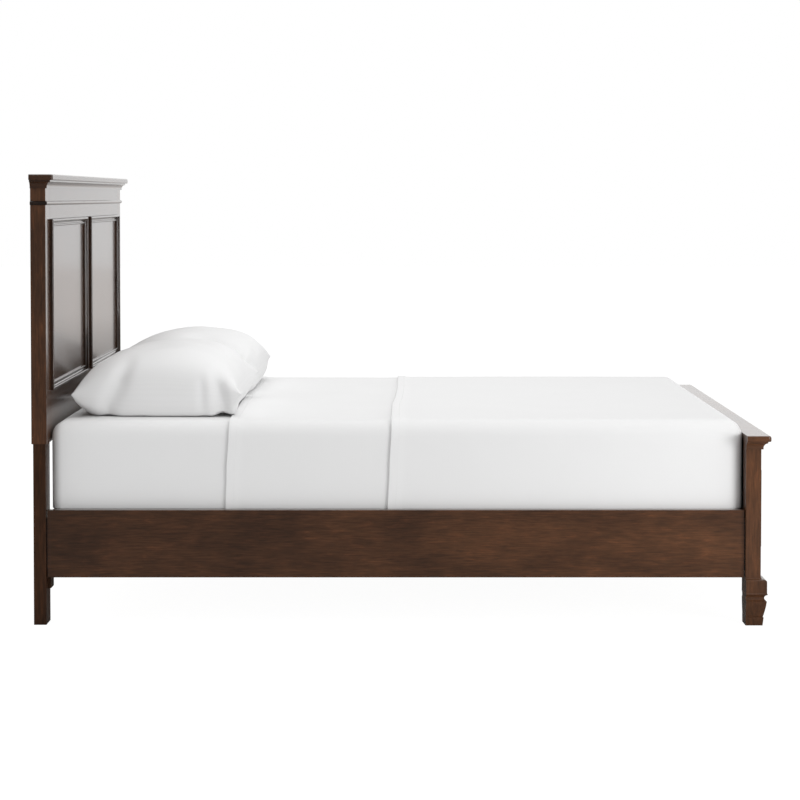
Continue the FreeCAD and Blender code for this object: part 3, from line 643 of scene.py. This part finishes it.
def onRound(spot, low, high, radius, openStart):
    # a point of a box without underside, moved onto its rounded form, and the way out there
    corner = radius - bedding["round"] + bedding["corner"]
    coreLow = low.x - 1 if openStart else low.x + corner
    core = Vector((min(max(spot.x, coreLow), high.x - corner),
                   min(max(spot.y, low.y + corner), high.y - corner)))
    away = Vector((spot.x, spot.y)) - core
    reach = max(abs(away.x), abs(away.y))
    if away.length > 0:
        outward = away.normalized()
    else:
        # well inside: the nearest side counts
        sides = [(high.x - spot.x, Vector((1, 0))), (spot.y - low.y, Vector((0, -1))),
                 (high.y - spot.y, Vector((0, 1)))]
        if not openStart:
            sides.append((spot.x - low.x, Vector((-1, 0))))
        near, outward = min(sides, key=lambda side: side[0])
        reach = corner - near
    inside = corner - reach
    plan = core + outward * reach if away.length > 0 else Vector((spot.x, spot.y))
    level = max(radius - inside, 0)
    rise = max(spot.z - (high.z - radius), 0)
    size = math.hypot(level, rise)
    scale = radius / size if size > 0 and max(level, rise) > radius - 1e-6 else 1
    moved = plan + outward * (level * scale - level)
    if rise > 0:
        out = Vector((outward.x * level, outward.y * level, rise)).normalized()
    else:
        out = Vector((outward.x, outward.y, 0))
    return Vector((moved.x, moved.y, spot.z + rise * scale - rise)), out


def latticeBox(name, low, high, xs, ys, zs, place, openStart, material):
    # the top and sides of a box as a net of quads, each corner put in its place
    made = bmesh.new()
    weave = made.loops.layers.uv.new("weave")
    corners = {}

    def corner(i, j, k):
        if (i, j, k) not in corners:
            corners[(i, j, k)] = made.verts.new(place(Vector((xs[i], ys[j], zs[k]))))
        return corners[(i, j, k)]

    def quad(keys, flat):
        face = made.faces.new([corner(*key) for key in keys])
        for loop, key in zip(face.loops, keys):
            loop[weave].uv = flat(xs[key[0]], ys[key[1]], zs[key[2]])

    lastX, lastY, lastZ = len(xs) - 1, len(ys) - 1, len(zs) - 1
    for i in range(lastX):
        for j in range(lastY):
            quad([(i, j, lastZ), (i + 1, j, lastZ), (i + 1, j + 1, lastZ), (i, j + 1, lastZ)],
                 lambda x, y, z: (x, y))
        for k in range(lastZ):
            quad([(i, 0, k), (i + 1, 0, k), (i + 1, 0, k + 1), (i, 0, k + 1)],
                 lambda x, y, z: (x, low.y - (high.z - z)))
            quad([(i + 1, lastY, k), (i, lastY, k), (i, lastY, k + 1), (i + 1, lastY, k + 1)],
                 lambda x, y, z: (x, high.y + (high.z - z)))
    for j in range(lastY):
        for k in range(lastZ):
            quad([(lastX, j, k), (lastX, j + 1, k), (lastX, j + 1, k + 1), (lastX, j, k + 1)],
                 lambda x, y, z: (high.x + (high.z - z), y))
            if not openStart:
                quad([(0, j + 1, k), (0, j, k), (0, j, k + 1), (0, j + 1, k + 1)],
                     lambda x, y, z: (low.x - (high.z - z), y))
    mesh = bpy.data.meshes.new(name)
    made.to_mesh(mesh)
    made.free()
    return newObject(name, mesh, material)


def between(points, at):
    # an even curve through a short list of (place, value)
    if at <= points[0][0]:
        return points[0][1]
    for (first, low), (second, high) in zip(points, points[1:]):
        if at <= second:
            return low + (high - low) * eased((at - first) / (second - first))
    return points[-1][1]


def waver(node, spot, low, high):
    # how far the free edge is pushed along the bed at this point
    if node not in edgeLines:
        return 0.0
    fade = 1 - min(max((spot.x - low.x) / bedding["edgeFade"], 0), 1)
    if fade == 0:
        return 0.0
    lines = edgeLines[node]
    drop = min(max((high.z - spot.z) / bedding["sideDrop"], 0), 1)
    side = between(lines["side"], spot.z)
    if spot.y > 0:
        side += lines["top"][-1][1] - lines["side"][-1][1]
    top = between(lines["top"], spot.y)
    return (side * drop + top * (1 - drop)) * eased(fade)


def layer(name, node, thick, openStart):
    # a sheet of bedding over the mattress: its outer face on the CAD layer, walls going inwards
    low, high = (Vector(corner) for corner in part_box(node))
    radius = bedding["round"] + high.z - mattressHigh.z
    cell, fine, rim = bedding["flatCell"], bedding["roundCell"], bedding["rimCells"]
    if openStart:
        # fine cells for the hem and a little past it
        start = [(low.x + bedding["hemWide"] * 1.2, bedding["hemCell"])]
    else:
        start = [(low.x + radius, fine)]
    xs = places(low.x, *start, (high.x - radius, cell), (high.x, fine))
    ys = places(low.y, (low.y + radius, fine), (high.y - radius, cell), (high.y, fine))
    zs = places(low.z, (low.z + rim[0], rim[0]), (low.z + sum(rim), rim[1]),
                (high.z - radius, cell), (high.z, fine))

    def place(spot):
        onto, out = onRound(spot, low, high, radius, openStart)
        lift = billow(spot)
        if openStart:
            lift += freeHem(spot, low)
        return onto + out * lift + Vector((waver(node, spot, low, high), 0, 0))

    made = latticeBox(name, low, high, xs, ys, zs, place, openStart, cotton)
    wall = made.modifiers.new("wall", "SOLIDIFY")
    wall.thickness = thick
    wall.offset = -1
    wall.use_even_offset = True
    bake(made)
    made.data.polygons.foreach_set("use_smooth", [True] * len(made.data.polygons))
    return made, low, high, place


def freeHem(spot, low):
    # a free edge stands a little off the cloth under it, unevenly, and settles within its hem
    away = (spot.x - low.x) / bedding["hemWide"]
    if away >= 1:
        return 0.0
    uneven = 0.75 + 0.5 * noise.noise(Vector((0, spot.y, spot.z)) / bedding["hemUneven"])
    settle = (1 - away * away) ** 2
    return bedding["hemLift"] * settle * uneven


def areaOf(made):
    return sum(face.area for face in made.data.polygons) / 2


def hemStitches(name, low, high, place):
    # a row over the top and down both sides, on the cloth
    x = low.x + bedding["hemRow"]
    step = 6 * mm
    down = int((high.z - low.z) / step)
    over = int((high.y - low.y) / step)
    path = [Vector((x, low.y, low.z + step * i)) for i in range(1, down)]
    path += [Vector((x, low.y + step * i, high.z)) for i in range(over + 1)]
    path += [Vector((x, high.y, high.z - step * i)) for i in range(1, down)]
    points = [place(spot) for spot in path]
    return sewnRow(name, points, False, stitchLook["hemSpacing"])


def makeBedding():
    sheetThick, coverletThick = bedding["sheetThick"], bedding["coverletThick"]
    fitted = layer("fittedSheet", "fitted_sheet", sheetThick, False)[0]
    flatSheet, low, high, place = layer("flatSheet", "flat_sheet", sheetThick, True)
    flatRow = hemStitches("flatSheetStitches", low, high, place)
    coverlet, low, high, place = layer("coverlet_cloth", "coverlet", coverletThick, True)
    coverRow = hemStitches("coverletStitches", low, high, place)
    for piece, slot in ((fitted, "sheet_cotton"), (flatSheet, "sheet_cotton"),
                        (flatRow, "sheet_cotton"), (coverlet, "coverlet_cotton"),
                        (coverRow, "coverlet_cotton")):
        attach(piece, "mattress")
    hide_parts("fitted_sheet")
    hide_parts("flat_sheet")
    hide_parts("coverlet")
    drop = mattressHigh.z - low.z
    wide = mattressHigh.y - mattressLow.y
    for piece, node, rows, ends in ((fitted, "fitted_sheet", (), 2),
                                    (flatSheet, "flat_sheet", (flatRow,), 1),
                                    (coverlet, "coverlet", (coverRow,), 1)):
        first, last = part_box(node)
        flat = (wide + drop * 2, last[0] - first[0] + drop * ends)
        area = flat[0] * flat[1] - 2 * ends * drop * drop
        list(rows)
        print(piece.name, "area", round(areaOf(piece), 3), "flat", round(area, 3))


def planLoop(low, high, inset, radius, z, cells=8):
    # a rounded rectangle inside a box's plan, as points, with so many cells round each corner
    left, right = low.x + inset + radius, high.x - inset - radius
    front, back = low.y + inset + radius, high.y - inset - radius
    points = []
    for x, y, start in ((right, front, -90), (right, back, 0), (left, back, 90),
                        (left, front, 180)):
        for i in range(cells + 1):
            angle = math.radians(start + 90 * i / cells)
            points.append(Vector((x + radius * math.cos(angle), y + radius * math.sin(angle), z)))
    return points


def tubeLoop(name, points, radius, material):
    curve = bpy.data.curves.new(name, "CURVE")
    curve.dimensions = "3D"
    spline = curve.splines.new("POLY")
    spline.points.add(len(points) - 1)
    for item, point in zip(spline.points, points):
        item.co = (*point, 1)
    spline.use_cyclic_u = True
    curve.bevel_depth = radius
    curve.bevel_resolution = 3
    holder = bpy.data.objects.new(name, curve)
    bpy.context.scene.collection.objects.link(holder)
    graph = bpy.context.evaluated_depsgraph_get()
    mesh = bpy.data.meshes.new_from_object(holder.evaluated_get(graph), depsgraph=graph)
    bpy.data.objects.remove(holder)
    mesh.name = name
    weaveFlat(mesh)
    mesh.materials.clear()
    return newObject(name, mesh, material)


mattressLook = {
    "slack": 1.0 * mm,       # how far the ticking lies inside the CAD box
    "underRound": 20 * mm,   # round of the lower edge
    "underCell": 4 * mm,
    "quiltDeep": 1.2 * mm,
    "quiltTurns": 21,        # sets how close the quilting's rows are
    "tape": 4 * mm,          # half the tape's thickness
}


def makeMattress():
    # a rounded block with a quilted top, taped round its lower edge
    look, low, high = mattressLook, mattressLow, mattressHigh
    radius, under = bedding["round"], look["underRound"]
    cell, fine = bedding["flatCell"], bedding["roundCell"]
    xs = places(low.x, (low.x + radius, fine), (high.x - radius, cell), (high.x, fine))
    ys = places(low.y, (low.y + radius, fine), (high.y - radius, cell), (high.y, fine))
    zs = places(low.z, (low.z + under, look["underCell"]), (high.z - radius, cell), (high.z, fine))

    def place(spot):
        onto, out = onRound(spot, low, high, radius, False)
        inset = look["slack"]
        rise = spot.z - low.z
        if rise < under:
            inset += under - math.sqrt(max(under ** 2 - (under - rise) ** 2, 0))
        elif out.z > 0.9:
            # shallow quilting over the sleeping surface
            turns = math.sin(spot.x * look["quiltTurns"]) * math.sin(spot.y * look["quiltTurns"])
            inset += look["quiltDeep"] * (1 - abs(turns) ** 0.5)
        return onto + out * (billow(spot) - inset)

    body = latticeBox("mattressBody", low, high, xs, ys, zs, place, False, ticking)
    made = bmesh.new()
    made.from_mesh(body.data)
    rim = [edge for edge in made.edges if edge.is_boundary]
    bmesh.ops.holes_fill(made, edges=rim, sides=0)
    bmesh.ops.recalc_face_normals(made, faces=made.faces)
    made.to_mesh(body.data)
    made.free()
    for face in body.data.polygons:
        face.use_smooth = len(face.vertices) < 5
    welt, thick = under * (1 - math.sqrt(0.5)), look["tape"]
    loop = planLoop(low, high, welt, bedding["corner"] - welt, low.z + welt)
    tube = tubeLoop("mattressTape", loop, thick, tape)
    row = planLoop(low, high, welt - thick, bedding["corner"] - welt + thick, low.z + welt)
    rowPiece = sewnRow("mattressTapeStitches", row, True, stitchLook["tapeSpacing"])
    for piece in (body, tube, rowPiece):
        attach(piece, "mattress")
    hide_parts("mattress")


foundationLook = {
    "slack": 0.4 * mm,       # how far the cover lies inside the CAD box
    "round": 7 * mm,         # round of the level edges
    "corner": 14 * mm,       # and of the upright ones
    "least": 6 * mm,         # but no tighter than this where they meet
    "band": 45 * mm,         # the flat of the sides starts this far from their edges
    "tape": 4 * mm,          # half the tapes' thickness
    "tapeInset": 4.6 * mm,
    "tapeCorner": 11 * mm,
}


def makeFoundation():
    # a covered box spring: stretched cover, taped edges
    look, low, high = foundationLook, foundationLow, foundationHigh
    edge, slack, inset = look["round"], look["slack"], look["tapeInset"]
    # the cover's section: how far from the underside or the top, and how far in
    section = ((slack, edge), (edge * 0.3, edge * 0.35), (edge, 0), (edge * 2.4, 0),
               (look["band"], 0))
    levels = [(low.z + away, back) for away, back in section]
    levels += [(high.z - away, back) for away, back in reversed(section)]
    box = bmesh.new()
    weave = box.loops.layers.uv.new("weave")
    rings = []
    for z, back in levels:
        points = planLoop(low, high, slack + back, max(look["corner"] - back, look["least"]), z)
        rings.append([box.verts.new(point) for point in points])
    for lower, upper in zip(rings, rings[1:]):
        for i in range(len(lower)):
            after = (i + 1) % len(lower)
            box.faces.new((lower[i], lower[after], upper[after], upper[i]))
    box.faces.new(list(reversed(rings[0])))
    box.faces.new(rings[-1])
    box.normal_update()
    for face in box.faces:
        for loop in face.loops:
            spot = loop.vert.co
            flat = (spot.x, spot.y) if abs(face.normal.z) > 0.7 else (spot.x + spot.y, spot.z)
            loop[weave].uv = flat
    mesh = bpy.data.meshes.new("foundationBody")
    box.to_mesh(mesh)
    box.free()
    body = newObject("foundationBody", mesh, ticking)
    for face in body.data.polygons:
        face.use_smooth = len(face.vertices) < 5
    pieces = [body]
    for name, z in (("Lower", low.z + inset), ("Upper", high.z - inset)):
        loop = planLoop(low, high, inset, look["tapeCorner"], z)
        pieces.append(tubeLoop("foundationTape" + name, loop, look["tape"], tape))
    for piece in pieces:
        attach(piece, "foundation")
    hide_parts("foundation")


makeMattress()
makeFoundation()
makeBedding()
print("mattress, foundation and bedding made")


pillowLook = {
    "seam": 67 * mm,         # height of the seam over the sheet
    "across": 46,            # cells of each of the two cloths
    "along": 56,
    "footShift": 11 * mm,    # the far foot corner lies a little further towards the footboard
    "footRise": 15 * mm,     # and higher
    "under": (1.7, 1.5),     # how full the underside is, and how much fuller at the near foot end
    "inner": (11.0, -4.3),   # how much squarer the near and the far one are beside each other
    "thinCorner": 0.9,       # how much the filling thins out into the corners
    "corner": 6 * mm,        # how far the sewn corners stand out
    "uneven": 0.05,          # slow swells of the upper side, as a share of its height
    "clear": 0.7 * mm,       # how far the underside stays off the sheet
    "leastClear": 0.5 * mm,  # and the least of it once the cloth has settled
    "foldClear": 0.12,       # folds start this far from the middle and are full at twice that
    "foldLead": 0.3,         # they fade in over this share of their line on each side of its start
    "pressure": 3.0,
    "stiffness": 40.0,
    "bending": 4.0,
    "mass": 0.3,
    "quality": 6,
    "frames": 18,
    "cap": 9 * mm,           # how far the cloth may move while it settles
}
pillowForms = {
    "right": {
        "powerX": 2.36,      # how square its form is along the bed
        "powerY": 4.30,      # and across it
        "soft": 0.48,        # how soon it falls off towards the seams
        "headSoft": 0.84,    # what that is multiplied by at the headboard
        "lean": 0.150,       # how far its crown leans to the footboard
        "drawX": 0.090,      # how far its sides draw in
        "drawY": 0.037,
        "crown": 123 * mm,   # over the seam
        "push": -9 * mm,     # how far the filling has moved towards the footboard
        "seed": 3.0,         # of the slow swells
    },
    "left": {"powerX": 1.66, "powerY": 5.90, "soft": 0.40, "headSoft": 1.13, "lean": 0.063,
             "drawX": 0.030, "drawY": 0.058, "crown": 129 * mm, "push": 7 * mm, "seed": 8.0},
}
# soft folds of the near end: from (x, z) to (x, z), half width and depth
nearFolds = (
    ((-0.832, 0.745), (-0.888, 0.620), 0.021, 18.0 * mm),
    ((-0.602, 0.700), (-0.594, 0.612), 0.011, 13.0 * mm),
    ((-0.556, 0.722), (-0.540, 0.612), 0.019, 23.0 * mm),
)
# the far pillow's near end sinks in beside the near pillow
middleFolds = (
    ((-0.700, 0.800), (-0.545, 0.742), 0.026, 42.0 * mm),
    ((-0.548, 0.735), (-0.500, 0.690), 0.024, 40.0 * mm),
)
# slight folds of the other ends
farFolds = (
    ((-0.520, 0.765), (-0.486, 0.667), 0.016, 10.0 * mm),
    ((-0.930, 0.720), (-0.960, 0.640), 0.018, 5.0 * mm),
)


def seamCells(i, count):
    # from -1 to 1, with cells that grow narrower towards the seams
    return -math.cos(math.pi * i / count) * 0.5 + (2 * i / count - 1) * 0.5


def pillowNet(name, side, low, high):
    # two nets of quads that share their border, filled to the pillow's form
    look, form = pillowLook, pillowForms[side]
    across, along = look["across"], look["along"]
    near = 1 if side == "right" else 0
    centre, half = (low + high) / 2, (high - low) / 2
    made = bmesh.new()
    weave = made.loops.layers.uv.new("weave")
    nets = {}
    for face in (1, -1):
        for i in range(across + 1):
            for j in range(along + 1):
                border = i in (0, across) or j in (0, along)
                if border and face < 0:
                    nets[(i, j, -1)] = nets[(i, j, 1)]
                    continue
                u, v = seamCells(i, across), seamCells(j, along)
                turned = min(max(u - form["lean"] * (1 - u * u), -1), 1)
                rounding = form["powerY"] + look["inner"][1 - near] * max(v if near else -v, 0)
                fill = (1 - abs(turned) ** form["powerX"]) * (1 - abs(v) ** rounding)
                fill *= 1 - look["thinCorner"] * (abs(u) * abs(v)) ** 3
                footward = eased(min(max((turned + 0.8) / 1.6, 0), 1))
                power = form["soft"] * (form["headSoft"] + (1 - form["headSoft"]) * footward)
                fill = 0.0 if border else max(fill, 0) ** power
                x = centre.x + u * half.x * (1 - form["drawX"] * (1 - v * v) ** 0.8)
                x += look["footShift"] * (v + 1) * (u + 1) / 4 + form["push"] * fill
                y = centre.y + v * half.y * (1 - form["drawY"] * (1 - u * u) ** 0.8)
                if face > 0:
                    swell = noise.noise(Vector((u * 2, v * 2.5, form["seed"])))
                    z = fill * form["crown"] * (1 + look["uneven"] * swell)
                else:
                    fuller = look["under"][0] + look["under"][1] * footward * near * (1 - v) / 2
                    z = -min(fill ** 0.7 * fuller, 1.0) * (look["seam"] - look["clear"])
                if i in (0, across) and j in (0, along):
                    x += look["corner"] * (1 if u > 0 else -1)
                    y += look["corner"] * (1 if v > 0 else -1)
                z += low.z + look["seam"] + look["footRise"] * ((v + 1) * (u + 1) / 4) ** 3
                nets[(i, j, face)] = made.verts.new((x, y, z))
    for face in (1, -1):
        for i in range(across):
            for j in range(along):
                keys = [(i, j, face), (i + 1, j, face), (i + 1, j + 1, face), (i, j + 1, face)]
                if face < 0:
                    keys.reverse()
                quad = made.faces.new([nets[key] for key in keys])
                for loop, key in zip(quad.loops, keys):
                    loop[weave].uv = (key[0] / across * half.x * 2, key[1] / along * half.y * 2)
    mesh = bpy.data.meshes.new(name)
    made.to_mesh(mesh)
    made.free()
    return newObject(name, mesh, cotton)


def settlePillow(pillow, floor):
    # the cloth works a little under the filling's pressure, as far as the cap allows
    look = pillowLook
    before = [vertex.co.copy() for vertex in pillow.data.vertices]
    filling = pillow.modifiers.new("filling", "CLOTH")
    cloth = filling.settings
    cloth.quality = look["quality"]
    cloth.mass = look["mass"]
    cloth.tension_stiffness = look["stiffness"]
    cloth.compression_stiffness = look["stiffness"]
    cloth.shear_stiffness = look["stiffness"] / 3
    cloth.bending_stiffness = look["bending"]
    cloth.use_pressure = True
    cloth.uniform_pressure_force = look["pressure"]
    cloth.effector_weights.gravity = 0
    filling.collision_settings.use_collision = False
    filling.point_cache.frame_start = 1
    filling.point_cache.frame_end = look["frames"]
    for step in range(1, look["frames"] + 1):
        bpy.context.scene.frame_set(step)
    bake(pillow)
    bpy.context.scene.frame_set(1)
    widest = 0.0
    for vertex, first in zip(pillow.data.vertices, before):
        move = vertex.co - first
        widest = max(widest, move.length)
        if move.length > look["cap"]:
            move *= look["cap"] / move.length
        vertex.co = first + move
        vertex.co.z = max(vertex.co.z, floor)
    print(pillow.name, "settled by up to", round(widest * 1000, 1), "mm")


def foldPillow(pillow, folds, facing):
    # presses soft folds into the end that faces one way along y
    mesh, clear, lead = pillow.data, pillowLook["foldClear"], pillowLook["foldLead"]
    middle = sum(vertex.co.y for vertex in mesh.vertices) / len(mesh.vertices)
    moves = []
    for vertex in mesh.vertices:
        outward = (vertex.co.y - middle) * facing
        place = min(max((outward - clear) / clear, 0), 1)
        here = Vector((vertex.co.x, vertex.co.z))
        move = Vector()
        for start, end, wide, deep in folds:
            line = Vector(end) - Vector(start)
            along = min(max((here - Vector(start)).dot(line) / line.length_squared, -lead), 1)
            away = (here - Vector(start) - line * along).length
            fade = min(max((along + lead) / (2 * lead), 0), 1)
            move -= vertex.normal * deep * place * fade * math.exp(-(away / wide) ** 2)
        moves.append(move)
    for vertex, move in zip(mesh.vertices, moves):
        vertex.co += move


def makePillows():
    for side in pillowForms:
        low, high = (Vector(corner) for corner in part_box("pillow_" + side))
        pillow = pillowNet("pillow_cloth_" + side, side, low, high)
        settlePillow(pillow, low.z + pillowLook["leastClear"])
        foldPillow(pillow, nearFolds if side == "right" else middleFolds + farFolds, -1)
        foldPillow(pillow, farFolds, 1)
        finer = pillow.modifiers.new("finer", "SUBSURF")
        finer.levels = finer.render_levels = 1
        bake(pillow)
        pillow.data.polygons.foreach_set("use_smooth", [True] * len(pillow.data.polygons))
        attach(pillow, "pillow_" + side)
        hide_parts("pillow_" + side)


makePillows()
print("pillows made")
